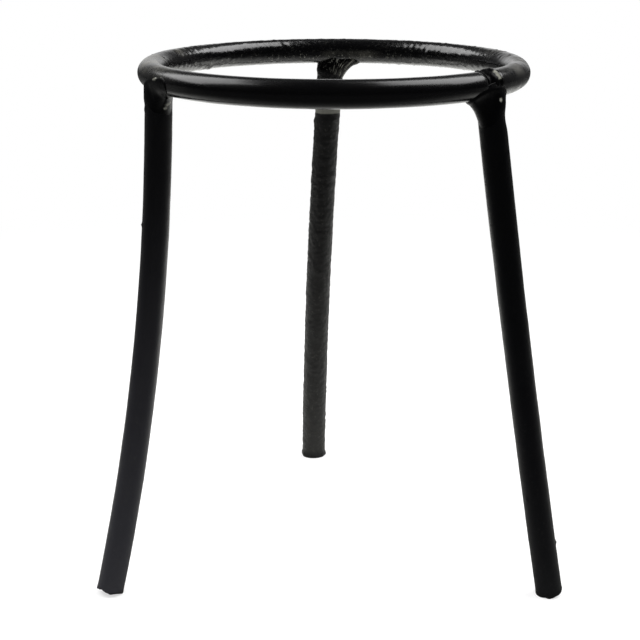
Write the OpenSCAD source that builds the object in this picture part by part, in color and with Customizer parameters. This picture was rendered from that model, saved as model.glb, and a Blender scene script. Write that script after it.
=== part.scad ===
// Welded lab tripod stand: a hoop of round bar on three bent legs of the same bar.
// The origin is on the bench, on the axis of the ring. +Z is up and the back leg stands towards +Y.
// Lengths are in millimetres. Angles are in degrees, counted anticlockwise in plan from +X.

/* [Bar] */
// Diameter of the round bar of the ring and the legs
bar_d = 8; // [5:0.5:12]

/* [Ring] */
// Inside diameter of the ring
ring_inner_d = 100; // [80:1:160]
// Height of the stand, from the bench to the top of the ring
stand_h = 155; // [110:1:220]
// Direction of the seam where the two ends of the ring's bar meet
seam_angle = 320.5; // [316:0.1:327]
// Gap between the two ends of the ring's bar
seam_gap = 1.6; // [1:0.1:3]
// Width along the ring of the bead on the seam
seam_bead_w = 5; // [4:0.1:8]
// Height of the bead on the seam above the bar
seam_bead_h = 1.0; // [0.9:0.1:1.6]

/* [Left leg] */
// Direction of the leg's seat under the ring
left_seat_angle = 202; // [190:0.5:220]
// Direction of the foot
left_foot_angle = 210; // [195:0.5:225]
// Distance of the foot from the ring's axis
left_foot_r = 77.5; // [60:0.5:110]
// Sag of the bent bar from the straight line between its ends
left_bow = 4.5; // [0.5:0.1:8]
// Direction in plan towards which the bar is bowed
left_bow_angle = 30; // [0:1:360]

/* [Right leg] */
// Direction of the leg's seat under the ring
right_seat_angle = 321.7; // [310:0.1:335]
// Direction of the foot
right_foot_angle = 328.6; // [315:0.1:345]
// Distance of the foot from the ring's axis
right_foot_r = 75.6; // [60:0.1:110]
// Sag of the bent bar from the straight line between its ends
right_bow = 0.7; // [0.5:0.1:8]
// Direction in plan towards which the bar is bowed
right_bow_angle = 165; // [0:1:360]

/* [Back leg] */
// Direction of the leg's seat under the ring
back_seat_angle = 90.2; // [75:0.1:105]
// Direction of the foot
back_foot_angle = 94.8; // [75:0.1:105]
// Distance of the foot from the ring's axis
back_foot_r = 77.2; // [60:0.1:110]
// Sag of the bent bar from the straight line between its ends
back_bow = 1.3; // [0.5:0.1:8]
// Direction in plan towards which the bar is bowed
back_bow_angle = 215; // [0:1:360]

/* [Feet] */
// Depth that the standing edge of each square-cut foot is worn flat
foot_wear = 0.4; // [0.2:0.05:0.8]

/* [Welds] */
// Gap between the top of a leg and the underside of the ring, filled by the weld
root_gap = 0.6; // [0.3:0.1:1.5]
// Length that a weld runs down its leg from the underside of the ring
weld_drop = 5.5; // [3:0.1:9]
// Thickness of a weld at its edge on the bar
weld_toe = 0.3; // [0.2:0.05:0.8]
// Angle that a weld climbs the inside of the ring from the underside of its bar
weld_under = 62; // [40:1:85]
// Height that a weld climbs on the outside of the ring above the middle of its bar
weld_climb = 1.2; // [0:0.1:2]
// Fullness of a weld's hollow flank, from 0 in the corner between the bars to 1 for a flat flank
weld_fill = 0.45; // [0:0.05:0.8]
// Reach of the left weld along the ring, clockwise of the leg
left_reach_cw = 0.8; // [0.4:0.1:10]
// Reach of the left weld along the ring, anticlockwise of the leg
left_reach_ccw = 10; // [0.4:0.1:12]
// Direction round the leg, from straight outwards, in which the left weld climbs highest
left_climb_turn = 40; // [-60:1:60]
// Reach of the right weld along the ring, clockwise of the leg
right_reach_cw = 6.8; // [0.4:0.1:10]
// Reach of the right weld along the ring, anticlockwise of the leg
right_reach_ccw = 2; // [0.4:0.1:10]
// Direction round the leg, from straight outwards, in which the right weld climbs highest
right_climb_turn = -12; // [-60:1:60]
// Reach of the back weld along the ring, clockwise of the leg
back_reach_cw = 6.8; // [0.4:0.1:10]
// Reach of the back weld along the ring, anticlockwise of the leg
back_reach_ccw = 0.5; // [0.4:0.1:10]
// Direction round the leg, from straight outwards, in which the back weld climbs highest
back_climb_turn = 40; // [-60:1:60]

/* [Hidden] */

bar_r = bar_d / 2;
ring_r = ring_inner_d / 2 + bar_r;
ring_z = stand_h - bar_r;
seat_z = ring_z - bar_r - root_gap;
seam_gap_angle = 2 * asin(seam_gap / 2 / ring_r);

// The seam's bead ends this depth below the middle of the ring's bar.
seam_foot = 0.9 * bar_r;
// Levels of a weld's hollow flank
flank_steps = 7;
// Share of the ring bar's radius at which a weld's skin closes inside that bar
weld_root = 0.5;

paint = "#141416";
bar_fn = 48;
weld_fn = 36;
ring_fn = 180;
leg_steps = 16;

// A leg as [seat angle, foot angle, foot distance, bow, bow angle]
left = [left_seat_angle, left_foot_angle, left_foot_r, left_bow, left_bow_angle];
right = [right_seat_angle, right_foot_angle, right_foot_r, right_bow, right_bow_angle];
back = [back_seat_angle, back_foot_angle, back_foot_r, back_bow, back_bow_angle];

// A weld as [reach clockwise, reach anticlockwise, direction of its climb]
left_weld = [left_reach_cw, left_reach_ccw, left_climb_turn];
right_weld = [right_reach_cw, right_reach_ccw, right_climb_turn];
back_weld = [back_reach_cw, back_reach_ccw, back_climb_turn];

function plan(angle, r, z = 0) = [r * cos(angle), r * sin(angle), z];
function unit(v) = v / norm(v);

// The bar's middle line is an arc from the middle of the ring's bar to the foot's middle on the bench.
function seat_point(leg) = plan(leg[0], ring_r, ring_z);
function foot_point(leg) = plan(leg[1], leg[2]);
function chord(leg) = foot_point(leg) - seat_point(leg);
function chord_dir(leg) = unit(chord(leg));
function bow_dir(leg) =
    let (side = plan(leg[4], 1), along = chord_dir(leg))
    unit(side - (side * along) * along);
function bend_r(leg) = (pow(norm(chord(leg)) / 2, 2) + pow(leg[3], 2)) / (2 * leg[3]);
function half_bend(leg) = asin(norm(chord(leg)) / 2 / bend_r(leg));
function bend_centre(leg) =
    (seat_point(leg) + foot_point(leg)) / 2 + (leg[3] - bend_r(leg)) * bow_dir(leg);

// Direction of the bar at an angle round its bend, from -half_bend at the ring to half_bend at the foot
function bar_dir(leg, turn) = cos(turn) * chord_dir(leg) - sin(turn) * bow_dir(leg);

// Lean of the bar at its foot, and how much the square cut shortens the bar so that its edge stands
function foot_lean(leg) = acos(-bar_dir(leg, half_bend(leg))[2]);
function foot_trim(leg) = (bar_r * sin(foot_lean(leg)) - foot_wear) / cos(foot_lean(leg));

// Middle of the bar at a distance below the middle of the ring's bar
function bar_below(leg, drop) =
    seat_point(leg) + bar_dir(leg, -half_bend(leg)) * drop / -bar_dir(leg, -half_bend(leg))[2];

// Round bar along the leg's arc, cut square at the foot and running up into the ring
module bent_bar(leg) {
    along = chord_dir(leg);
    side = bow_dir(leg);
    across = cross(side, along);
    centre = bend_centre(leg);
    sweep = 2 * half_bend(leg) - foot_trim(leg) / bend_r(leg) * 180 / PI;
    multmatrix([
        [side[0], along[0], across[0], centre[0]],
        [side[1], along[1], across[1], centre[1]],
        [side[2], along[2], across[2], centre[2]],
        [0, 0, 0, 1]
    ])
        rotate([0, 0, -half_bend(leg)])
        rotate_extrude(angle = sweep, $fn = ceil(leg_steps * 360 / sweep))
        translate([bend_r(leg), 0])
        circle(r = bar_r, $fn = bar_fn);
}

// The part of the bent bar between the bench and the seat
module leg_bar(leg) {
    room = 2 * (max(leg[2], ring_r) + bar_d);
    intersection() {
        bent_bar(leg);
        translate([-room / 2, -room / 2, 0])
            cube([room, room, seat_z]);
    }
}

// The ring's bar, an open hoop with its ends at the seam
module hoop() {
    translate([0, 0, ring_z])
        rotate([0, 0, seam_angle + seam_gap_angle / 2])
        rotate_extrude(angle = 360 - seam_gap_angle, $fn = ring_fn)
        translate([ring_r, 0])
        circle(r = bar_r, $fn = bar_fn);
}

// A barrel round the ring's bar at the seam, which bulges over both ends
module seam_barrel() {
    rise = seam_bead_h - weld_toe;
    arc_r = (pow(seam_bead_w / 2, 2) + pow(rise, 2)) / (2 * rise);
    translate(plan(seam_angle, ring_r, ring_z))
        rotate([90, 0, seam_angle])
        rotate_extrude($fn = bar_fn)
        intersection() {
            translate([bar_r + seam_bead_h - arc_r, 0])
                circle(r = arc_r, $fn = bar_fn);
            translate([0, -seam_bead_w / 2])
                square([bar_d, seam_bead_w]);
        }
}

// Point of a weld's edge on the leg, at a turn round the leg and a depth below the middle of the ring's bar
function leg_edge(leg, turn, depth) =
    bar_below(leg, depth) + plan(leg[0] + turn, bar_r + weld_toe);

// Point over a weld's edge on the ring, at a turn round the leg and a distance from the bar's middle line.
// The edge climbs the bar most in the weld's own direction round the leg and reaches along it both ways.
function ring_edge(leg, weld, turn, r) =
    let (
        along = sin(turn) * (bar_r + (sin(turn) > 0 ? weld[1] : weld[0])),
        rise = cos(turn - weld[2]),
        over = rise * (rise > 0 ? 90 + asin(weld_climb / bar_r) : weld_under) - 90
    )
    plan(leg[0] + along / ring_r * 180 / PI, ring_r + r * cos(over), ring_z + r * sin(over));

// Depth at which the leg's side, carried up, would meet the ring's bar
function corner_depth(turn) = sqrt(pow(bar_r, 2) - pow(0.9 * bar_r * cos(turn), 2));

// The point itself, or where it lies nearer to a bar's middle than a weld's edge, moved out to that edge
function proud(p, middle) =
    let (away = p - middle)
    middle + away * max(1, (bar_r + weld_toe) / norm(away));

// A point of a weld's skin, kept proud of the leg and then of the ring
function weld_point(leg, p) =
    let (q = proud(p, bar_below(leg, ring_z - p[2])))
    proud(q, ring_r * unit([q[0], q[1], 0]) + [0, 0, ring_z]);

// One level of a weld, at a share of the way from its edge on the leg to its edge on the ring
function weld_level(leg, weld, share) = [
    for (k = [1 : weld_fn])
        let (
            turn = 360 * k / weld_fn,
            low = leg_edge(leg, turn, bar_r + weld_drop),
            high = ring_edge(leg, weld, turn, bar_r + weld_toe),
            corner = leg_edge(leg, turn, corner_depth(turn)),
            pull = corner + weld_fill * ((low + high) / 2 - corner)
        )
        weld_point(leg, pow(1 - share, 2) * low + 2 * share * (1 - share) * pull + pow(share, 2) * high)
];

// A closed skin over levels of as many points each, from a flat first level up to a peak over the last
module skin(levels, peak) {
    count = len(levels[0]);
    last = len(levels) - 1;
    polyhedron(
        points = concat([for (level = levels) each level], [peak]),
        faces = [
            [for (k = [0 : count - 1]) k],
            for (k = [0 : count - 1])
                [last * count + k, (last + 1) * count, last * count + (k + 1) % count],
            for (m = [0 : last - 1])
                for (k = [0 : count - 1])
                    let (a = m * count + k, b = m * count + (k + 1) % count)
                    each [[a, a + count, b], [b, a + count, b + count]]
        ]
    );
}

// Everything inside a weld's surface: a saddle that hollows from the leg to the ring and peaks in its bar
module weld_body(leg, weld) {
    flank = [for (k = [0 : flank_steps]) weld_level(leg, weld, k / flank_steps)];
    root = [for (k = [1 : weld_fn]) ring_edge(leg, weld, 360 * k / weld_fn, weld_root * bar_r)];
    skin(concat(flank, [root]), seat_point(leg));
}

// The weld itself, which seats on the ring's bar and on the leg
module leg_weld(leg, weld) {
    difference() {
        weld_body(leg, weld);
        hoop();
        leg_bar(leg);
    }
}

// The seam weld fills the gap down to the right leg's weld, which fills the rest.
module seam_fill() {
    difference() {
        seam_barrel();
        hoop();
        weld_body(right, right_weld);
        translate(plan(seam_angle, ring_r, ring_z - seam_foot - bar_d))
            translate([-bar_d, -bar_d, 0])
            cube([2 * bar_d, 2 * bar_d, bar_d]);
    }
}

module ring() {
    color(paint) hoop();
}

module ring_seam_weld() {
    color(paint) seam_fill();
}

module leg_left() {
    color(paint) leg_bar(left);
}

module leg_right() {
    color(paint) leg_bar(right);
}

module leg_back() {
    color(paint) leg_bar(back);
}

module weld_left() {
    color(paint) leg_weld(left, left_weld);
}

module weld_right() {
    color(paint) leg_weld(right, right_weld);
}

module weld_back() {
    color(paint) leg_weld(back, back_weld);
}

ring();
ring_seam_weld();
leg_left();
leg_right();
leg_back();
weld_left();
weld_right();
weld_back();
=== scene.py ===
"""A lab tripod stand: a ring of round bar on three bent legs of the same bar, welded and painted black.

Each piece is a closed skin worked out over a grid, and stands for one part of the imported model. Lengths are
in metres. The origin is on the bench under the middle of the ring, and the back leg stands towards +Y.
"""

import bpy
import numpy as np
from bpy.props import FloatProperty, FloatVectorProperty, PointerProperty
from bpy.types import Operator, Panel, PropertyGroup
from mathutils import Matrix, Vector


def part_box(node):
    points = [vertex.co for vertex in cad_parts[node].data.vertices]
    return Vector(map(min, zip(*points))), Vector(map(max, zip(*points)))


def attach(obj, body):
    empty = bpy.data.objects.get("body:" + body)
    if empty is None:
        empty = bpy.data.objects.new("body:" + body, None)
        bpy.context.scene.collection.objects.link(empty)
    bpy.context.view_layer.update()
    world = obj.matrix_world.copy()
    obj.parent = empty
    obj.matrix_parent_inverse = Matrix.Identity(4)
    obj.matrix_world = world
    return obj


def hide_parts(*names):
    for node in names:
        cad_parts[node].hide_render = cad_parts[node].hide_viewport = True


bl_info = {
    "name": "Lab tripod stand",
    "version": (1, 0, 0),
    "blender": (4, 5, 0),
    "location": "3D View > Sidebar > Stand",
    "description": "Builds a welded and painted lab tripod stand and the studio around it",
    "category": "Object",
}

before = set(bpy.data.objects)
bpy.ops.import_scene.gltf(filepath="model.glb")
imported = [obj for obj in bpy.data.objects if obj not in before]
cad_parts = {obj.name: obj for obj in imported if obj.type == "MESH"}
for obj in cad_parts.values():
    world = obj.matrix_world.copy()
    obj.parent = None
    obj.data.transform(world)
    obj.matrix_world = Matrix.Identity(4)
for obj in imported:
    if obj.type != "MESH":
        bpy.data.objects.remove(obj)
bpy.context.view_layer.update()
RING_LOW, RING_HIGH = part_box("ring")
MM = 0.001
UP = np.array([0, 0, 1.0])

# Paint colours that every piece shares: near black for its painted shade, and a pale grey for its thin or
# bare specks, a pale band, and its painted highlights and glints.
PAINTED_SHADE_BLACK = (0.0006, 0.0006, 0.0009)
PALE_AND_HIGHLIGHT = (0.28, 0.28, 0.24)


# Sizes and colours


def length(name, description, default, **more):
    """A length property in metres."""
    return FloatProperty(
        name=name, description=description, default=default, unit="LENGTH", precision=5, **more
    )


def angle(name, description, degrees):
    """An angle property, kept in radians and given in degrees."""
    return FloatProperty(
        name=name, description=description, default=np.radians(degrees), subtype="ANGLE", unit="ROTATION"
    )


def colour(name, description, default):
    """A paint colour property."""
    return FloatVectorProperty(
        name=name, description=description, default=default, subtype="COLOR", min=0, max=1, size=3
    )


class RingSizes(PropertyGroup):
    bar_radius: length("Bar radius", "Radius of the ring's painted bar", 3.93 * MM)
    ring_radius: length(
        "Ring radius",
        "Radius of the ring to the middle of its bar",
        (RING_HIGH.x - RING_LOW.x - (RING_HIGH.z - RING_LOW.z)) / 2,
    )
    height: length("Height", "Height of the middle of the ring's bar", (RING_HIGH.z + RING_LOW.z) / 2)
    seam_start: angle("Seam start", "Direction of the ring's end on the front side of the seam", -42.2)
    seam_end: angle("Seam end", "Direction of the ring's end on the far side of the seam", -38.4)
    edge: length("End rounding", "Rounding of the ring's ends at the seam", 2.2 * MM)


def leg_properties(seat, foot, distance, bow, towards, radius):
    """The sizes of one leg, whose middle line is an arc from the ring's bar to the bench."""
    return {
        "seat": angle("Seat", "Direction of the leg's seat under the ring", seat),
        "foot": angle("Foot", "Direction of the foot", foot),
        "distance": length("Foot distance", "Distance of the foot from the ring's axis", distance * MM),
        "bow": length("Bow", "Sag of the bent bar from the straight line between its ends", bow * MM),
        "towards": angle("Bow direction", "Direction in which the bar is bowed", towards),
        "radius": length("Bar radius", "Radius of the painted bar", radius * MM),
    }


LeftLegSizes = type(
    "LeftLegSizes", (PropertyGroup,), {"__annotations__": leg_properties(202, 210, 77.5, 4.5, 30, 3.98)}
)
RightLegSizes = type(
    "RightLegSizes", (PropertyGroup,), {"__annotations__": leg_properties(321.7, 328.6, 75.6, 0.7, 165, 3.96)}
)
BackLegSizes = type(
    "BackLegSizes", (PropertyGroup,), {"__annotations__": leg_properties(90.2, 94.8, 77.2, 1.3, 215, 4.2)}
)


def weld_properties(clockwise, anticlockwise, climb, turn, under, drop, slant, fill):
    """The sizes of one leg's weld. Clockwise is as seen from above."""
    return {
        "clockwise": length("Reach clockwise", "Reach along the ring, clockwise of the leg", clockwise * MM),
        "anticlockwise": length(
            "Reach anticlockwise", "Reach along the ring, anticlockwise of the leg", anticlockwise * MM
        ),
        "climb": angle("Climb", "Angle that the weld climbs the ring's bar from its underside", climb),
        "turn": angle("Climb direction", "Direction round the leg in which the weld climbs highest", turn),
        "under": angle("Far climb", "Angle that the weld climbs the bar on its other side", under),
        "drop": length("Drop", "Run down the leg from the underside of the ring", drop * MM),
        "slant": length("Slant", "How much less it drops on its anticlockwise side", slant * MM),
        "fill": FloatProperty(
            name="Fill", description="Fullness of the flank, 0 hollow and 1 flat", default=fill, min=0, max=1
        ),
    }


LeftWeldSizes = type(
    "LeftWeldSizes",
    (PropertyGroup,),
    {"__annotations__": weld_properties(0.8, 10.5, 126, 44, 62, 5.4, -0.6, 0.65)},
)
RightWeldSizes = type(
    "RightWeldSizes",
    (PropertyGroup,),
    {"__annotations__": weld_properties(7.4, 3.0, 104, -10, 62, 6.0, 2.3, 0.5)},
)
BackWeldSizes = type(
    "BackWeldSizes",
    (PropertyGroup,),
    {"__annotations__": weld_properties(6.9, 0.2, 100, 40, 66, 5.0, 0.6, 0.45)},
)


class PaintColours(PropertyGroup):
    ring: colour("Ring", "Black enamel of the ring", (0.0012, 0.0012, 0.0015))
    # The left leg's lighter colour shows only low down, as painted reflection of the bench; painted shade
    # takes it to near black towards the ring.
    left_leg: colour("Left leg", "Black paint of the left leg", (0.0215, 0.0215, 0.0276))
    right_leg: colour("Right leg", "Black paint of the right leg", (0.002, 0.002, 0.0032))
    back_leg: colour("Back leg", "Thick black paint of the back leg", (0.0018, 0.0018, 0.0021))
    weld: colour("Weld", "Black paint over the welds", (0.0008, 0.0008, 0.0011))
    # The dust colour also serves as painted sheen and painted reflection of the bench.
    dust: colour("Dust", "Dust and thin paint on rough places", (0.11, 0.106, 0.089))


class StageSizes(PropertyGroup):
    floor_size: length("Floor size", "Width of the square floor", 9.0)
    camera_distance: length("Camera distance", "Distance of the camera in front of the ring's axis", 0.459)
    camera_height: length("Camera height", "Height of the camera", 0.205)
    camera_side: length("Camera side", "Distance of the camera to the right of the ring's axis", -0.00408)
    camera_pitch: angle("Camera pitch", "Tilt of the camera below the horizon", 15.95)


class StandSettings(PropertyGroup):
    ring: PointerProperty(type=RingSizes)
    left_leg: PointerProperty(type=LeftLegSizes)
    right_leg: PointerProperty(type=RightLegSizes)
    back_leg: PointerProperty(type=BackLegSizes)
    left_weld: PointerProperty(type=LeftWeldSizes)
    right_weld: PointerProperty(type=RightWeldSizes)
    back_weld: PointerProperty(type=BackWeldSizes)
    paint: PointerProperty(type=PaintColours)
    stage: PointerProperty(type=StageSizes)


# Surfaces


def lumps(points, size, seed):
    """Smooth random heights from -1 to 1.

    A lattice of this spacing holds seeded random numbers. Between its corners they are blended along each
    axis by 3t^2 - 2t^3, so the surface has no creases.
    """
    count = 24
    table = np.random.default_rng(seed).uniform(-1, 1, (count, count, count))
    place = points / size + seed * 0.37
    corner = np.floor(place).astype(int)
    share = place - corner
    share = share * share * (3 - 2 * share)
    total = np.zeros(points.shape[:-1])
    for step in np.ndindex(2, 2, 2):
        weight = np.prod(np.where(step, share, 1 - share), axis=-1)
        x, y, z = np.moveaxis((corner + step) % count, -1, 0)
        total += weight * table[x, y, z]
    return total


def bumps(points, spots, size):
    """The sum of a round bump at each spot, exp(-(distance / size)^2)."""
    gap = points[..., None, :] - np.asarray(spots)
    return np.exp(-np.sum(gap * gap, axis=-1) / size**2).sum(axis=-1)


def ease(low, high, value):
    """0 below low, 1 above high, and 3t^2 - 2t^3 between."""
    t = np.clip((value - low) / (high - low), 0, 1)
    return t * t * (3 - 2 * t)


def bar_rows(length_along, spacing, radius, edge):
    """Rows along a bar with flat ends and rounded edges, as distances and shares of the radius.

    An end's rows widen from near its middle to the edge, the edge is a quarter circle, and the rows between
    the two edges are evenly spaced.
    """
    innermost = 0.12
    face_rows = 8
    edge_rows = 6
    face = np.linspace(innermost, 1, face_rows) * (radius - edge) / radius
    turn = np.linspace(0, np.pi / 2, edge_rows + 1)[1:]
    start = np.concatenate([np.zeros(len(face)), edge * (1 - np.cos(turn))])
    start_share = np.concatenate([face, (radius - edge + edge * np.sin(turn)) / radius])
    middle = np.linspace(edge, length_along - edge, int(length_along / spacing))[1:-1]
    distance = np.concatenate([start, middle, length_along - start[::-1]])
    share = np.concatenate([start_share, np.ones(len(middle)), start_share[::-1]])
    return distance, share


def skin(name, grid, material, node):
    """A closed skin over a grid of rows by columns of points.

    Quads join neighbouring rows, the last column joins the first, and a fan to the middle of each end row
    closes it. The faces turn outwards by the sign of the volume that they hold. The UV map holds the length
    along the rows' middles and the length round the first row of full size.
    """
    rows, columns = grid.shape[:2]
    middles = grid.mean(axis=1)
    points = np.concatenate([grid.reshape(-1, 3), middles[:1], middles[-1:]])
    row, column = np.meshgrid(np.arange(rows - 1), np.arange(columns), indexing="ij")
    a = row * columns + column
    b = row * columns + (column + 1) % columns
    quads = np.stack([a, b, b + columns, a + columns], axis=-1).reshape(-1, 4)
    ring = np.arange(columns)
    after = (ring + 1) % columns
    last = (rows - 1) * columns
    first_fan = np.stack([after, ring, np.full(columns, rows * columns)], axis=-1)
    last_fan = np.stack([last + ring, last + after, np.full(columns, rows * columns + 1)], axis=-1)
    fans = np.concatenate([first_fan, last_fan])
    triangles = np.concatenate([quads[:, :3], quads[:, [0, 2, 3]], fans])
    first, second, third = np.moveaxis(points[triangles] - points.mean(axis=0), 1, 0)
    volume = np.einsum("ij,ij->", first, np.cross(second, third))
    along = np.concatenate([[0], np.cumsum(np.linalg.norm(np.diff(middles, axis=0), axis=1))])
    girth = np.linalg.norm(np.diff(grid, axis=1), axis=2).sum(axis=1).max()
    u = along[np.stack([row, row, row + 1, row + 1], axis=-1)].reshape(-1, 4)
    v = np.stack([column, column + 1, column + 1, column], axis=-1).reshape(-1, 4) * girth / columns
    fan_v = np.stack([ring + 1, ring, ring + 0.5], axis=-1) * girth / columns
    fan_u = np.repeat([[along[0]] * 3, [along[-1]] * 3], columns, axis=0)
    fan_v = np.concatenate([fan_v, fan_v[:, [1, 0, 2]]])
    if volume < 0:
        quads, fans = quads[:, ::-1], fans[:, ::-1]
        u, v, fan_u, fan_v = u[:, ::-1], v[:, ::-1], fan_u[:, ::-1], fan_v[:, ::-1]
    mesh = bpy.data.meshes.new(name)
    mesh.from_pydata(points.tolist(), [], quads.tolist() + fans.tolist())
    layer = mesh.uv_layers.new(name="UVMap")
    uv = np.concatenate(
        [np.stack([u, v], axis=-1).reshape(-1, 2), np.stack([fan_u, fan_v], axis=-1).reshape(-1, 2)]
    )
    layer.data.foreach_set("uv", uv.astype(np.float32).ravel())
    mesh.polygons.foreach_set("use_smooth", np.ones(len(mesh.polygons), bool))
    mesh.materials.append(material)
    mesh.update()
    piece = bpy.data.objects.new(name, mesh)
    bpy.context.scene.collection.objects.link(piece)
    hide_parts(node)
    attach(piece, "root")
    return piece


def plan(direction, distance=1.0, height=0.0):
    """The point at this direction and distance from the ring's axis."""
    direction = np.asarray(direction, float)
    return np.stack(
        [distance * np.cos(direction), distance * np.sin(direction), height + 0 * direction], axis=-1
    )


def ring_grid(ring):
    """The ring's bar: a circle carried round the ring from one side of the seam to the other.

    A point is the ring's middle line at its direction, plus the bar's radius times cos(turn) outwards and
    sin(turn) up. Slow lumps, the rough and pimpled paint of the back half and three drips change the radius.
    """
    start, end = ring.seam_end, ring.seam_start + 2 * np.pi
    spacing = 0.42 * MM
    columns = 60
    pimple_count = 170
    distance, share = bar_rows((end - start) * ring.ring_radius, spacing, ring.bar_radius, ring.edge)
    direction = (start + distance / ring.ring_radius)[:, None]
    turn = np.linspace(0, 2 * np.pi, columns, endpoint=False)[None, :]
    side = np.cos(turn)[..., None] * plan(direction) + np.sin(turn)[..., None] * UP
    middle = plan(direction, ring.ring_radius, ring.height)
    smooth = middle + ring.bar_radius * side
    back = ease(-5 * MM, 25 * MM, smooth[..., 1])
    ends = ease(40 * MM, 50 * MM, np.abs(smooth[..., 0]))
    pimples = np.random.default_rng(4).uniform(0, 1, (pimple_count, 2))
    # They lie on the back half, from 5 to 175 degrees.
    where = np.radians(5 + 170 * pimples[:, :1])
    over = 2 * np.pi * pimples[:, 1:]
    spots = (
        plan(where, ring.ring_radius, ring.height)
        + ring.bar_radius * (np.cos(over)[..., None] * plan(where) + np.sin(over)[..., None] * UP)
    )[:, 0]
    drips = plan(np.radians([139.3, 84.5, 141.5]), ring.ring_radius - 2 * MM, ring.height - 3.5 * MM)
    radius = (
        ring.bar_radius
        + 0.05 * MM * lumps(smooth, 11 * MM, 1)
        + 0.012 * MM * lumps(smooth, 2.6 * MM, 2)
        + back * 0.05 * MM * lumps(smooth, 1.0 * MM, 3)
        + ends * 0.02 * MM * lumps(smooth, 1.8 * MM, 5)
        + 0.15 * MM * bumps(smooth, spots, 0.42 * MM)
        + 0.42 * MM * bumps(smooth, drips[:1], 1.0 * MM)
        + 0.2 * MM * bumps(smooth, drips[1:], 0.9 * MM)
    )
    return middle + (share[:, None] * radius)[..., None] * side


def seam_grid(ring):
    """The seam's weld: a collar round the ring's bar whose height changes along and round the bar.

    Height is a groove beside the front end, a ridge that drifts as it goes round like a comma, a blob on the
    inner crest and a low swell behind it, all in millimetres. Both ends of the collar shrink into the bar.
    """
    low, high = ring.seam_start - np.radians(1.6), ring.seam_end + np.radians(3.6)
    rows = 34
    columns = 72
    direction = np.linspace(low, high, rows)[:, None]
    turn = np.linspace(0, 2 * np.pi, columns, endpoint=False)[None, :]
    over = np.degrees(np.angle(np.exp(1j * (turn - np.pi / 2))))
    along = (direction - ring.seam_start) * ring.ring_radius / MM
    crest = 3.3 - 0.016 * over
    ridge = 0.72 * np.exp(-(((along - crest) / 0.75) ** 2)) * ease(-122, -66, over) * ease(58, 20, over)
    blob = 1.0 * np.exp(-(((along - 0.6) / 1.5) ** 2) - ((over - 24) / 26) ** 2)
    rear = 0.35 * np.exp(-(((along - 2.6) / 1.6) ** 2)) * ease(20, 70, np.abs(over - 30))
    groove = -0.75 * np.exp(-(((along - 1.0) / 0.8) ** 2)) * (1 - ease(10, 40, over))
    height = -0.28 + ridge + blob + rear + groove
    side = np.cos(turn)[..., None] * plan(direction) + np.sin(turn)[..., None] * UP
    middle = plan(direction, ring.ring_radius, ring.height)
    smooth = middle + ring.bar_radius * side
    height = height + 0.12 * lumps(smooth, 1.1 * MM, 21) + 0.05 * lumps(smooth, 0.5 * MM, 22)
    ends = np.minimum(ease(low, low + 0.02, direction), ease(high, high - 0.02, direction))
    radius = (ring.bar_radius + MM * height) * (0.55 + 0.45 * ends)
    return middle + radius[..., None] * side


class LegLine:
    """The middle line of a leg: an arc from the middle of the ring's bar to the bench.

    Half the bend's angle is asin(half the chord / the bend's radius), and the radius comes from the chord
    and the bow as (half chord^2 + bow^2) / (2 bow).
    """

    def __init__(self, leg, ring):
        self.top = plan(leg.seat, ring.ring_radius, ring.height)
        self.foot = plan(leg.foot, leg.distance)
        chord = self.foot - self.top
        half = np.linalg.norm(chord) / 2
        self.along = chord / (2 * half)
        side = plan(leg.towards)
        side = side - (side @ self.along) * self.along
        self.side = side / np.linalg.norm(side)
        self.bend = (half**2 + leg.bow**2) / (2 * leg.bow)
        self.half = np.arcsin(half / self.bend)
        self.centre = (self.top + self.foot) / 2 + (leg.bow - self.bend) * self.side
        self.length = 2 * self.half * self.bend

    def at(self, distance):
        """Middle, run, side and across directions at these distances from the top."""
        turn = (np.asarray(distance) / self.bend - self.half)[..., None]
        side = np.cos(turn) * self.side + np.sin(turn) * self.along
        run = np.cos(turn) * self.along - np.sin(turn) * self.side
        return self.centre + self.bend * side, run, side, np.cross(run, side)

    def at_height(self, height):
        """The straight run of the bar's top, met at these heights."""
        _, run, _, _ = self.at(0.0)
        return self.top + run * ((np.asarray(height) - self.top[2]) / run[2])[..., None]


def foot_trim(line, radius):
    """How much shorter the bar is for its square-cut end to stand on the bench, less a ragged rest."""
    _, run, _, _ = line.at(line.length)
    lean = np.arccos(-run[2])
    left_over = 0.3 * MM
    return radius * np.tan(lean) - left_over


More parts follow.
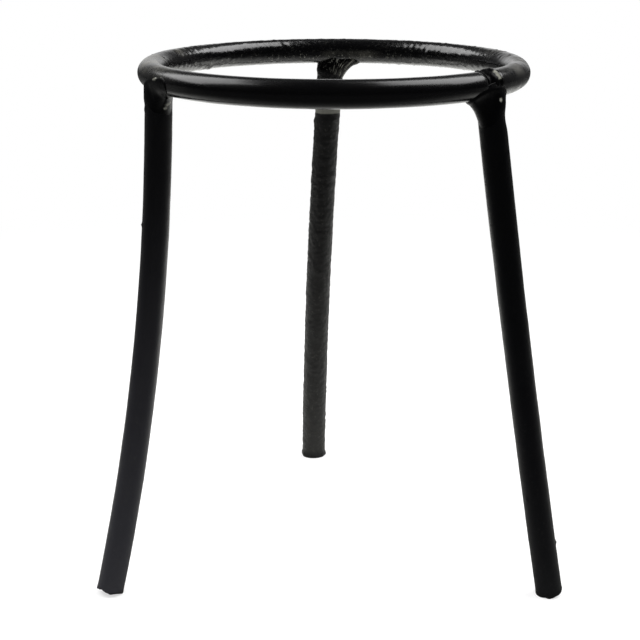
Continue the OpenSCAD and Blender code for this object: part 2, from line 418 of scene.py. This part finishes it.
def leg_grid(leg, ring, looks):
    """A leg: a circle carried along its arc from just under the ring to a rough square cut at the foot.

    A point is the arc's middle plus the radius times cos(turn) sideways and sin(turn) across. Slow lumps,
    grain, pimples and dents change the radius, a burr widens it beside the cut, and chips change how far the
    cut end reaches.
    """
    line = LegLine(leg, ring)
    # The bar starts this far along the line from the middle of the ring's bar.
    start = 4.2 * MM
    reach = line.length - foot_trim(line, leg.radius) - start
    distance, share = bar_rows(reach, looks["spacing"], leg.radius, looks["edge"])
    middle, run, side, across = (v[:, None] for v in line.at(distance + start))
    turn = np.linspace(0, 2 * np.pi, looks["columns"], endpoint=False)[None, :, None]
    away = np.cos(turn) * side + np.sin(turn) * across
    smooth = middle + leg.radius * away
    radius = leg.radius + MM * sum(
        size * lumps(smooth, width * MM, seed) for size, width, seed in looks["lumps"]
    )
    for spots, size, height in looks["spots"]:
        radius = radius + height * MM * bumps(smooth, np.asarray(spots) * MM, size * MM)
    radius = radius + looks["burr"] * MM * ease(reach - 1.6 * MM, reach - 0.3 * MM, distance)[:, None]
    points = middle + (share[:, None] * radius)[..., None] * away
    # The cut end is ragged: random chips, and the dents and tags that the foot shows.
    end = ease(reach - 2.4 * MM, reach - 0.2 * MM, distance)[:, None]
    ragged = looks["ragged"] * MM * (lumps(smooth, 1.7 * MM, 31) + 0.45 * lumps(smooth, 0.7 * MM, 32))
    for spots, size, height in looks["chips"]:
        ragged = ragged + height * MM * bumps(smooth, np.asarray(spots) * MM, size * MM)
    points = points + (end * ragged)[..., None] * run
    # It stays off the bench and out of the ring's bar.
    points[..., 2] = np.clip(points[..., 2], 0.05 * MM, ring.height - ring.bar_radius - 0.4 * MM)
    return points


def proud(points, middles, radius, width):
    """The points, moved straight out from a bar's middle to this radius where they are nearer.

    The new distance is the larger of the two, rounded by (1 - gap / width)^2 width / 4 where they differ by
    less than the width, so that no crease is left.
    """
    away = points - middles
    gap = np.linalg.norm(away, axis=-1)
    near = np.clip(1 - np.abs(gap - radius) / width, 0, 1)
    return middles + away * ((np.maximum(gap, radius) + near * near * width / 4) / gap)[..., None]


def weld_grid(weld, leg, ring, looks):
    """A leg's weld: a saddle whose skin runs from an edge round the leg to an edge on the ring's bar.

    A curve at each turn round the leg is (1 - s)^2 low + 2 s (1 - s) pull + s^2 high, where the pull lies
    between the bars' corner and the middle of the ends by the fill. The edge on the leg drops further on the
    side of the slant. The edge on the ring has the direction seat + reach sin(turn) / ring radius, and climbs
    round the bar by cos(turn - climb direction). The skin stays proud of both bars by a thickness with lumps
    and spots, which thins away over a set distance from both edges and ends just inside the bars.
    """
    line = LegLine(leg, ring)
    turn = np.linspace(0, 2 * np.pi, looks["columns"], endpoint=False)
    bottom = ring.height - ring.bar_radius
    away = plan(leg.seat + turn)
    wavy = looks["wave"] * MM * (np.sin(2 * turn + looks["phase"]) + 0.6 * np.sin(5 * turn + looks["phase"]))
    reach = leg.radius + np.where(np.sin(turn) > 0, weld.anticlockwise, weld.clockwise) + wavy
    rise = np.cos(turn - weld.turn)
    over = rise * np.where(rise > 0, weld.climb, weld.under) - np.pi / 2
    over = over + 0.16 * np.sin(7 * turn + looks["phase"]) * looks["wave"]
    direction = leg.seat + reach * np.sin(turn) / ring.ring_radius
    toe = bottom - weld.drop + weld.slant * np.sin(turn) + wavy
    inset = 0.25 * MM

    def on_ring(radius):
        return plan(direction, ring.ring_radius + radius * np.cos(over), ring.height + radius * np.sin(over))

    corner_depth = np.sqrt(ring.bar_radius**2 - (0.9 * ring.bar_radius * np.cos(turn)) ** 2)
    low = line.at_height(toe) + (leg.radius - inset) * away
    corner = line.at_height(ring.height - corner_depth) + leg.radius * away
    high = on_ring(ring.bar_radius - inset)
    pull = corner + weld.fill * ((low + high) / 2 - corner)
    share = np.linspace(0, 1, looks["rows"])[:, None, None]
    curve = (1 - share) ** 2 * low + 2 * share * (1 - share) * pull + share**2 * high
    steps = np.linalg.norm(np.diff(curve, axis=0), axis=-1)
    run = np.concatenate([np.zeros((1, len(turn))), np.cumsum(steps, axis=0)])
    body = ease(0, looks["toe"] * MM, run) * ease(0, looks["bead"] * MM, run[-1] - run)
    rough = sum(size * lumps(curve, width * MM, seed) for size, width, seed in looks["lumps"])
    for spots, size, height in looks["spots"]:
        rough = rough + height * bumps(curve, np.asarray(spots) * MM, size * MM)
    thick = body * MM * (looks["thick"] + rough) - (1 - body) * inset
    width = 0.02 * MM + body * 1.2 * MM
    skin_points = proud(curve, line.at_height(curve[..., 2]), leg.radius + thick, width)
    level = skin_points * [1, 1, 0]
    middle = ring.ring_radius * level / np.linalg.norm(level, axis=-1, keepdims=True)
    middle = middle + [0, 0, ring.height]
    skin_points = proud(skin_points, middle, ring.bar_radius + thick, width)
    # Both ends run on inside the bars.
    inner = line.at_height(toe + 0.6 * MM) + 0.55 * leg.radius * away
    buried = [on_ring(share_in * ring.bar_radius) for share_in in (0.8, 0.35)]
    return np.stack([inner, *skin_points, *buried])


# How each leg and weld differs. Lengths are in millimetres but for the spacing and the edge. Lumps are a
# height, a width and a seed. Spots and chips are places, with a size and a height.
LEG_EDGE = 0.15 * MM
WELD_COLUMNS = 150
WELD_ROWS = 76
LEG_LOOKS = {
    "left": dict(
        spacing=0.5 * MM,
        columns=54,
        edge=LEG_EDGE,
        lumps=[(0.05, 9, 41), (0.02, 2.2, 42), (0.012, 0.8, 43)],
        spots=[([(-55.4, -24.6, 109.5)], 0.5, 0.35), ([(-54.3, -22.5, 142.5)], 0.9, 0.3)],
        chips=[
            ([(-69.0, -40.5, 1.0)], 1.6, -0.6),
            ([(-66.8, -42.3, 0.3)], 1.2, 0.5),
            ([(-71.3, -38.5, 1.8)], 1.0, 0.9),
        ],
        ragged=0.32,
        burr=0.08,
    ),
    "right": dict(
        spacing=0.5 * MM,
        columns=54,
        edge=LEG_EDGE,
        lumps=[(0.05, 9, 51), (0.02, 2.2, 52), (0.012, 0.8, 53)],
        spots=[
            ([(48.6, -36.0, 132.5)], 0.5, 0.35),
            ([(66.0, -39.0, 16.5)], 0.5, 0.4),
            ([(56.4, -40.6, 30.5)], 0.5, 0.3),
            ([(47.6, -33.0, 141.0), (47.2, -35.4, 142.2)], 2.2, -0.22),
        ],
        chips=[([(68.2, -39.5, 0.8)], 2.0, -0.9), ([(64.5, -43.2, 0.0)], 1.2, 0.4)],
        ragged=0.24,
        burr=0.08,
    ),
    "back": dict(
        spacing=0.42 * MM,
        columns=64,
        edge=LEG_EDGE,
        lumps=[(0.07, 7, 61), (0.08, 1.9, 62), (0.12, 0.85, 63)],
        spots=[([(-6.4, 57.5, 127.3)], 1.0, 0.5), ([(-4.6, 53.0, 144.6)], 1.5, 0.5)],
        chips=[([(-9.8, 73.5, 0.6)], 1.0, 0.3), ([(-2.4, 73.4, 0.6)], 1.0, 0.3)],
        ragged=0.3,
        burr=0.3,
    ),
}
WELD_LOOKS = {
    "left": dict(
        columns=WELD_COLUMNS,
        rows=WELD_ROWS,
        thick=0.06,
        toe=4.4,
        bead=2.0,
        wave=0.35,
        phase=0.4,
        lumps=[(0.06, 3.2, 71), (0.05, 1.5, 72), (0.02, 0.6, 73)],
        spots=[
            ([(-49.9, -29.0, 152.4), (-47.9, -31.5, 153.2)], 0.9, 0.45),
            ([(-46.6, -24.8, 143.9)], 1.3, 0.45),
        ],
    ),
    "right": dict(
        columns=WELD_COLUMNS,
        rows=WELD_ROWS,
        thick=0.08,
        toe=4.4,
        bead=2.0,
        wave=0.3,
        phase=2.1,
        lumps=[(0.08, 3.2, 81), (0.05, 1.5, 82), (0.02, 0.6, 83)],
        spots=[([(45.2, -37.6, 146.4)], 0.9, 0.4)],
    ),
    "back": dict(
        columns=WELD_COLUMNS,
        rows=WELD_ROWS,
        thick=0.2,
        toe=2.8,
        bead=2.8,
        wave=0.3,
        phase=1.2,
        lumps=[(0.2, 2.6, 91), (0.14, 1.3, 92), (0.05, 0.6, 93)],
        spots=[],
    ),
}
# Places in millimetres of painted highlights on the welds and the seam, pale spots where light catches a nub,
# a lip and the seam's comma, with their sizes.
WELD_PAINTED_HIGHLIGHTS = [
    ((-49.9, -28.9, 152.5), 1.3),
    ((-50.7, -28.0, 152.0), 0.8),
    ((-48.0, -31.4, 153.3), 0.9),
    ((-46.7, -26.8, 144.3), 1.2),
    ((-47.6, -26.0, 143.1), 0.9),
    ((-46.0, -26.1, 145.0), 1.0),
    ((45.6, -36.8, 147.2), 0.8),
    ((44.0, -35.2, 154.8), 0.9),
    ((44.6, -35.6, 154.1), 0.9),
    ((45.2, -35.8, 153.2), 0.8),
]


# Materials


class Wire:
    """A socket in a sum: each operator adds one Math node."""

    def __init__(self, paint, socket):
        self.paint, self.socket = paint, socket

    def math(self, operation, *values):
        return self.paint.add("ShaderNodeMath", {"operation": operation}, *values)

    def __add__(self, other):
        return self.math("ADD", self, other)

    def __sub__(self, other):
        return self.math("SUBTRACT", self, other)

    def __rsub__(self, other):
        return self.math("SUBTRACT", other, self)

    def __mul__(self, other):
        return self.math("MULTIPLY", self, other)

    __radd__ = __add__
    __rmul__ = __mul__

    def size(self):
        """The value without its sign."""
        return self.math("ABSOLUTE", self)

    def ramp(self, low, high, start=0.0, end=1.0):
        """A smooth step from start at low to end at high."""
        return self.paint.add(
            "ShaderNodeMapRange",
            {"interpolation_type": "SMOOTHSTEP"},
            Value=self,
            **{"From Min": low, "From Max": high, "To Min": start, "To Max": end},
        )


class Paint:
    """A material or world tree that is written as expressions."""

    def __init__(self, owner):
        owner.use_nodes = True
        self.tree = owner.node_tree
        self.tree.nodes.clear()

    def add(self, kind, settings=None, *values, out=0, **named):
        """Add a node, set it, fill its inputs by place and by name, and give one output as a Wire."""
        node = self.tree.nodes.new(kind)
        for key, value in (settings or {}).items():
            setattr(node, key, value)
        for socket, value in [*zip(node.inputs, values), *((node.inputs[k], v) for k, v in named.items())]:
            if isinstance(value, Wire):
                self.tree.links.new(value.socket, socket)
            else:
                socket.default_value = value
        return Wire(self, node.outputs[out] if node.outputs else None)

    def noise(self, where, scale, detail=2.0, roughness=0.5):
        """Noise with about this many features a metre."""
        return self.add(
            "ShaderNodeTexNoise", None, Vector=where, Scale=scale, Detail=detail, Roughness=roughness
        )

    def split(self, vector):
        """The three parts of a vector."""
        parts = self.add("ShaderNodeSeparateXYZ", None, vector)
        return [Wire(self, socket) for socket in parts.socket.node.outputs]

    def mix(self, share, first, second):
        """A blend of two colours."""
        node = self.tree.nodes.new("ShaderNodeMix")
        node.data_type = "RGBA"
        for name, value in (("Factor_Float", share), ("A_Color", first), ("B_Color", second)):
            socket = next(s for s in node.inputs if s.identifier == name)
            if isinstance(value, Wire):
                self.tree.links.new(value.socket, socket)
            else:
                socket.default_value = value if name == "Factor_Float" else (*value, 1)
        return Wire(self, next(s for s in node.outputs if s.identifier == "Result_Color"))


def black_paint(name, base, dust, looks):
    """Black paint on metal, whose peel, grain and brush marks are bumps.

    Its colour goes towards near black by the region's painted shade share, then towards dust and painted
    light, and then towards pale grey where there are specks and painted glints, streaks along the brush marks
    with painted sheen, a pale band, or painted highlights. A painted highlight is a spot with a grainy edge.
    """
    material = bpy.data.materials.new(name)
    paint = Paint(material)
    where = paint.add("ShaderNodeTexCoord", None, out=3)
    uv = paint.add("ShaderNodeTexCoord", None, out=2)
    side, depth, height = paint.split(where)
    _, _, upward = paint.split(paint.add("ShaderNodeNewGeometry", None, out=1))
    brushed = paint.add("ShaderNodeMapping", None, uv, Scale=(0.16, 1.0, 1.0))
    cloudy = paint.noise(where, 140, 3)
    peel = paint.noise(where, looks["peel"], 2)
    grain = paint.noise(where, looks["grain"], 4, 0.6)
    brush = paint.noise(brushed, 1500, 3, 0.6)
    region = looks["region"](side, depth, height, upward, cloudy)
    specks_and_glints = paint.noise(where, 1100, 3, 0.7).ramp(0.58, 0.7) * region["speck_and_glint"] + region.get("pale_band", 0.0)
    specks_and_glints = specks_and_glints + brush.ramp(0.5, 0.64) * region.get("streak_and_sheen", 0.0)
    # Painted highlights: pale spots where light catches the welds and the seam.
    for place, size in looks.get("painted_highlights", []):
        gap = paint.add(
            "ShaderNodeVectorMath", {"operation": "DISTANCE"}, where, tuple(v * MM for v in place), out=1
        )
        specks_and_glints = specks_and_glints + (gap + (grain - 0.5) * size * 1.2 * MM).ramp(size * MM, size * 0.2 * MM)
    # Painted shade: the colour goes towards near black by the region's painted shade share.
    colour_wire = paint.mix(region.get("painted_shade", 0.0), tuple(base), PAINTED_SHADE_BLACK)
    # Dust, with painted sheen and painted reflection where the region puts it.
    colour_wire = paint.mix(region["dust"], colour_wire, tuple(dust))
    colour_wire = paint.mix(specks_and_glints, colour_wire, PALE_AND_HIGHLIGHT)
    rough = region["rough"] + (cloudy - 0.5) * looks["rough_wave"] + (grain - 0.5) * 0.12
    bump_height = peel * region["peel"] + grain * region["grain"] + brush * region["brush"]
    normal = paint.add(
        "ShaderNodeBump", None, Strength=1.0, Distance=looks["depth"] * MM, Height=bump_height
    )
    shader = paint.add(
        "ShaderNodeBsdfPrincipled",
        None,
        **{
            "Base Color": colour_wire,
            "Roughness": rough,
            "Normal": normal,
            "IOR": 1.5,
            "Specular IOR Level": looks.get("specular", 0.5),
            "Coat Weight": region.get("coat", 0.0),
            "Coat Roughness": 0.1,
        },
    )
    paint.add("ShaderNodeOutputMaterial", None, Surface=shader)
    return material


def ring_region(side, depth, height, upward, cloudy):
    """The ring: smooth at the front, brushed and grainy at the back, with dust and painted sheen on the tops
    of its left and right ends.

    A little more dust, with painted reflection of the bench, lies on the underside at the back, about the
    right of the back leg's weld. Pale specks at the back crowd onto the underside as painted glints.
    """
    back = depth.ramp(0.012, 0.036)
    left = side.ramp(-0.040, -0.052)
    right = side.ramp(0.044, 0.056)
    under = upward.ramp(0.1, -0.5)
    # Dust and painted sheen on the upward faces of the ring's ends.
    ends_dust_and_sheen = cloudy.ramp(0.42, 0.68) * (left * 0.75 + right * 0.7) * upward.ramp(0.1, 0.9)
    by_back_weld = (side - 0.006).size().ramp(0.011, 0.004)
    # Dust and painted reflection of the bench on the underside by the back weld.
    back_dust_and_reflection = cloudy.ramp(0.38, 0.6) * by_back_weld * back * upward.ramp(0.3, -0.2) * 0.35
    return {
        "rough": 0.23 - 0.04 * back + 0.04 * left + (0.02 + 0.2 * cloudy.ramp(0.4, 0.6)) * right,
        "coat": back * 0.35,
        "grain": 0.02 + 0.5 * back + 0.08 * left + 0.14 * right,
        "brush": 0.01 + 0.16 * back,
        "dust": ends_dust_and_sheen + back_dust_and_reflection,
        # Pale specks at the back, most of them on the underside as painted glints.
        "speck_and_glint": back * (0.06 + 0.9 * under),
        "peel": 0.04 + 0.35 * back,
    }


def leg_region(side, depth, height, upward, cloudy):
    """A front leg: even satin paint, with painted shade that makes it blacker towards the ring and just above
    the bench, and low on the left leg dust with painted reflection of the bench.
    """
    low = height.ramp(0.13, 0.0)
    return {
        "rough": 0.32 + 0.18 * low,
        "grain": cloudy.ramp(0.2, 0.8) * 0.3 + 0.25,
        "brush": low * 0.1 + 0.2,
        # Painted shade: blacker towards the ring and in the last two millimetres above the bench.
        "painted_shade": height.ramp(0.0, 0.135) * 0.95 + height.ramp(0.0022, 0.0006) * 0.9,
        # Dust and painted reflection of the bench, low on the left leg.
        "dust": low * cloudy.ramp(0.25, 0.75) * side.ramp(0.03, -0.03, 0.0, 0.03),
        "speck_and_glint": low * 0.03,
        "peel": 0.3,
    }


def back_region(side, depth, height, upward, cloudy):
    """The back leg: thick, grainy paint with random dust, lighter towards the foot by painted reflection of
    the bench, with a pale band across its front and painted shade just above the bench.
    """
    low = height.ramp(0.14, 0.0)
    band = height.ramp(0.1300, 0.1305) * height.ramp(0.1330, 0.1324) * depth.ramp(0.0595, 0.0575)
    return {
        "rough": 0.44 + 0.1 * low,
        "grain": cloudy.ramp(0.2, 0.8) * 0.3 + 0.8,
        "brush": low * 0.1 + 0.2,
        # Painted shade just above the bench.
        "painted_shade": height.ramp(0.0034, 0.0014),
        # Random dust, and painted reflection of the bench towards the foot.
        "dust": (cloudy.ramp(0.35, 0.8) * 0.02 + 0.05 * low) * height.ramp(0.0014, 0.0034),
        # Random specks, and a pale band across the front of the leg under the front ring.
        "speck_and_glint": cloudy * 0.15 + 0.7 * band,
        "pale_band": 0.5 * band,
        "peel": 0.6,
    }


def weld_region(side, depth, height, upward, cloudy):
    """The welds: black lumps, with rough paint on the back one and streaks, dust and painted sheen on its
    right.
    """
    behind = depth.ramp(0.0, 0.02)
    # The right of the back weld, where streaks and dust carry painted sheen.
    streaks_and_sheen = side.ramp(-0.001, 0.003) * behind
    return {
        "rough": 0.34 + 0.06 * behind,
        "grain": cloudy.ramp(0.2, 0.8) * 0.2 + 0.25 + 0.5 * behind,
        "brush": 0.15 + 0.7 * behind,
        "dust": cloudy.ramp(0.4, 0.68) * 0.9 * streaks_and_sheen,
        "speck_and_glint": 0.35 * behind,
        "streak_and_sheen": 0.8 * streaks_and_sheen,
        "peel": 0.2 + 0.5 * behind,
    }


# Operators


def made_material(name):
    """The material of this name, made on first use with its colours from the settings."""
    if name in bpy.data.materials:
        return bpy.data.materials[name]
    paint = bpy.context.scene.tripod_stand.paint
    table = {
        "ring_enamel": (
            paint.ring,
            dict(region=ring_region, peel=520, grain=1900, rough_wave=0.1, depth=0.09),
        ),
        "left_leg_paint": (
            paint.left_leg,
            dict(region=leg_region, peel=600, grain=2400, rough_wave=0.1, depth=0.07),
        ),
        "right_leg_paint": (
            paint.right_leg,
            dict(region=leg_region, peel=600, grain=2400, rough_wave=0.1, depth=0.07, specular=0.3),
        ),
        "back_leg_paint": (
            paint.back_leg,
            dict(region=back_region, peel=700, grain=1700, rough_wave=0.1, depth=0.16, specular=0.35),
        ),
        "weld_enamel": (
            paint.weld,
            dict(
                region=weld_region,
                peel=800,
                grain=2200,
                rough_wave=0.1,
                depth=0.1,
                specular=0.08,
                painted_highlights=WELD_PAINTED_HIGHLIGHTS,
            ),
        ),
    }
    base, looks = table[name]
    return black_paint(name, base, paint.dust, looks)


class STAND_OT_ring(Operator):
    """Add the ring's bar"""

    bl_idname = "stand.ring"
    bl_label = "Add ring"

    def execute(self, context):
        stand = context.scene.tripod_stand
        skin("ring_bar", ring_grid(stand.ring), made_material("ring_enamel"), "ring")
        return {"FINISHED"}


class STAND_OT_seam(Operator):
    """Add the weld on the ring's seam"""

    bl_idname = "stand.seam"
    bl_label = "Add seam weld"

    def execute(self, context):
        stand = context.scene.tripod_stand
        skin("seam_bead", seam_grid(stand.ring), made_material("weld_enamel"), "ring_seam_weld")
        return {"FINISHED"}


class STAND_OT_legs(Operator):
    """Add the three bent legs"""

    bl_idname = "stand.legs"
    bl_label = "Add legs"

    def execute(self, context):
        stand = context.scene.tripod_stand
        for name in ("left", "right", "back"):
            grid = leg_grid(getattr(stand, f"{name}_leg"), stand.ring, LEG_LOOKS[name])
            skin(f"{name}_leg_bar", grid, made_material(f"{name}_leg_paint"), f"leg_{name}")
        return {"FINISHED"}


class STAND_OT_welds(Operator):
    """Add the welds that hold the legs to the ring"""

    bl_idname = "stand.welds"
    bl_label = "Add leg welds"

    def execute(self, context):
        stand = context.scene.tripod_stand
        for name in ("left", "right", "back"):
            weld, leg = getattr(stand, f"{name}_weld"), getattr(stand, f"{name}_leg")
            grid = weld_grid(weld, leg, stand.ring, WELD_LOOKS[name])
            skin(f"{name}_leg_weld", grid, made_material("weld_enamel"), f"weld_{name}")
        return {"FINISHED"}


def floor_material():
    """White paper with the stand's soft shadow to the camera.

    To every other ray, mirrored or matt, it is a sheet from near black in front to pale behind, partly a
    painted pool of light behind the stand, so the paint does not mirror the white that the camera sees.
    """
    material = bpy.data.materials.new("paper")
    paint = Paint(material)
    where = paint.add("ShaderNodeTexCoord", None, out=3)
    across, depth, _ = paint.split(where)
    distance = paint.add("ShaderNodeVectorMath", {"operation": "LENGTH"}, where, out=1)
    camera = paint.add("ShaderNodeLightPath", None)
    behind = depth.ramp(-0.22, 0.14)
    between = across.ramp(0.4, 0.18, 0.08) * across.ramp(-0.28, -0.13, 0.08)
    # A pale patch behind the stand, partly a painted pool of light.
    pale_and_lit = behind * behind * between * depth.ramp(1.0, 0.5, 0.35)
    tone = paint.mix(pale_and_lit, (0.035, 0.035, 0.035), (0.88, 0.88, 0.85))
    plain = paint.add("ShaderNodeBsdfDiffuse", None, tone)
    far = distance.ramp(0.16, 0.5)
    shown = paint.add("ShaderNodeBsdfDiffuse", None, (0.5, 0.5, 0.5, 1))
    glow = paint.add("ShaderNodeEmission", None, (1, 1, 1, 1), 0.55)
    near = paint.add("ShaderNodeAddShader", None, shown, glow)
    white = paint.add("ShaderNodeEmission", None, (1, 1, 1, 1), 1.0)
    seen = paint.add("ShaderNodeMixShader", None, far, near, white)
    sheet = paint.add("ShaderNodeMixShader", None, camera, plain, seen)
    below = Wire(paint, paint.add("ShaderNodeNewGeometry", None).socket.node.outputs["Backfacing"])
    clear = paint.add("ShaderNodeBsdfTransparent", None)
    both = paint.add("ShaderNodeMixShader", None, below, sheet, clear)
    paint.add("ShaderNodeOutputMaterial", None, Surface=both)
    return material


def studio_world():
    """A white room to the camera, and an even grey one to matt colour.

    The paint does not mirror that white: it mirrors a dark room with a low pale wall behind the stand.
    """
    world = bpy.data.worlds.new("studio")
    paint = Paint(world)
    where = paint.add("ShaderNodeTexCoord", None)
    side, depth, height = paint.split(where)
    path = paint.add("ShaderNodeLightPath", None).socket.node.outputs
    camera, glossy = Wire(paint, path["Is Camera Ray"]), Wire(paint, path["Is Glossy Ray"])
    wall = depth.ramp(0.2, 0.5) * (height.ramp(0.4, 0.2) * side.size().ramp(0.45, 0.2) * 0.95 + 0.07)
    dark_room = 0.01
    matt_light = 0.6
    room = wall * glossy + dark_room + (1 - glossy) * matt_light
    light = paint.add("ShaderNodeBackground", None, (1, 1, 1, 1), room)
    white = paint.add("ShaderNodeBackground", None, (1, 1, 1, 1), 1.0)
    seen = paint.add("ShaderNodeMixShader", None, camera, light, white)
    paint.add("ShaderNodeOutputWorld", None, Surface=seen)
    return world


def softbox(name, direction, height, distance, size, radiance):
    """A rectangular lamp of this radiance that faces the stand from a direction and height in degrees."""
    lamp = bpy.data.lights.new(name, "AREA")
    lamp.shape = "RECTANGLE"
    lamp.size, lamp.size_y = size
    lamp.energy = radiance * np.pi * size[0] * size[1]
    holder = bpy.data.objects.new(name, lamp)
    bpy.context.scene.collection.objects.link(holder)
    a, e = np.radians(direction), np.radians(height)
    towards = np.array([np.cos(a) * np.cos(e), np.sin(a) * np.cos(e), np.sin(e)])
    aimed_at = 0.12 * UP
    holder.location = towards * distance + aimed_at
    holder.rotation_euler = (np.pi / 2 - e, 0, a + np.pi / 2)
    return holder


class STAND_OT_stage(Operator):
    """Add the white floor, the two softboxes, the fill that only matt colour sees and the camera"""

    bl_idname = "stand.stage"
    bl_label = "Add stage"

    def execute(self, context):
        stage = context.scene.tripod_stand.stage
        half = stage.floor_size / 2
        mesh = bpy.data.meshes.new("floor")
        corners = [(-half, -half, 0), (half, -half, 0), (half, half, 0), (-half, half, 0)]
        mesh.from_pydata(corners, [], [(0, 1, 2, 3)])
        mesh.materials.append(floor_material())
        floor = bpy.data.objects.new("floor", mesh)
        context.scene.collection.objects.link(floor)
        context.scene.world = studio_world()
        away = 2.0
        softbox("right_softbox", direction=20, height=53, distance=away, size=(1.5, 1.5), radiance=4.6)
        softbox("left_softbox", direction=158, height=44, distance=away, size=(1.6, 1.3), radiance=4.0)
        fill = softbox("front_fill", direction=-90, height=8, distance=away, size=(2.0, 2.0), radiance=1.4)
        # The paint does not mirror the fill.
        fill.visible_glossy = False
        camera = bpy.data.cameras.new("camera")
        camera.lens, camera.sensor_width = 86.42, 36
        holder = bpy.data.objects.new("camera", camera)
        holder.location = (stage.camera_side, -stage.camera_distance, stage.camera_height)
        holder.rotation_euler = (np.pi / 2 - stage.camera_pitch, 0, 0)
        context.scene.collection.objects.link(holder)
        context.scene.camera = holder
        context.scene.view_settings.view_transform = "Standard"
        return {"FINISHED"}


class STAND_PT_panel(Panel):
    """The stand's sizes, colours and steps"""

    bl_idname = "STAND_PT_panel"
    bl_label = "Lab tripod stand"
    bl_space_type = "VIEW_3D"
    bl_region_type = "UI"
    bl_category = "Stand"

    def draw(self, context):
        stand = context.scene.tripod_stand
        for group in StandSettings.__annotations__:
            box = self.layout.box()
            box.label(text=group.replace("_", " ").capitalize())
            settings = getattr(stand, group)
            for name in settings.__annotations__:
                box.prop(settings, name)
        for step in (STAND_OT_ring, STAND_OT_seam, STAND_OT_legs, STAND_OT_welds, STAND_OT_stage):
            self.layout.operator(step.bl_idname)


CLASSES = (
    RingSizes,
    LeftLegSizes,
    RightLegSizes,
    BackLegSizes,
    LeftWeldSizes,
    RightWeldSizes,
    BackWeldSizes,
    PaintColours,
    StageSizes,
    StandSettings,
    STAND_OT_ring,
    STAND_OT_seam,
    STAND_OT_legs,
    STAND_OT_welds,
    STAND_OT_stage,
    STAND_PT_panel,
)


def register():
    """Register the classes and hang the settings on the scene."""
    for each in CLASSES:
        bpy.utils.register_class(each)
    bpy.types.Scene.tripod_stand = PointerProperty(type=StandSettings)


def unregister():
    """Undo register."""
    del bpy.types.Scene.tripod_stand
    for each in reversed(CLASSES):
        bpy.utils.unregister_class(each)


def main():
    """Build the stand and its stage."""
    register()
    bpy.ops.stand.ring()
    bpy.ops.stand.seam()
    bpy.ops.stand.legs()
    bpy.ops.stand.welds()
    bpy.ops.stand.stage()


if __name__ == "__main__":
    main()
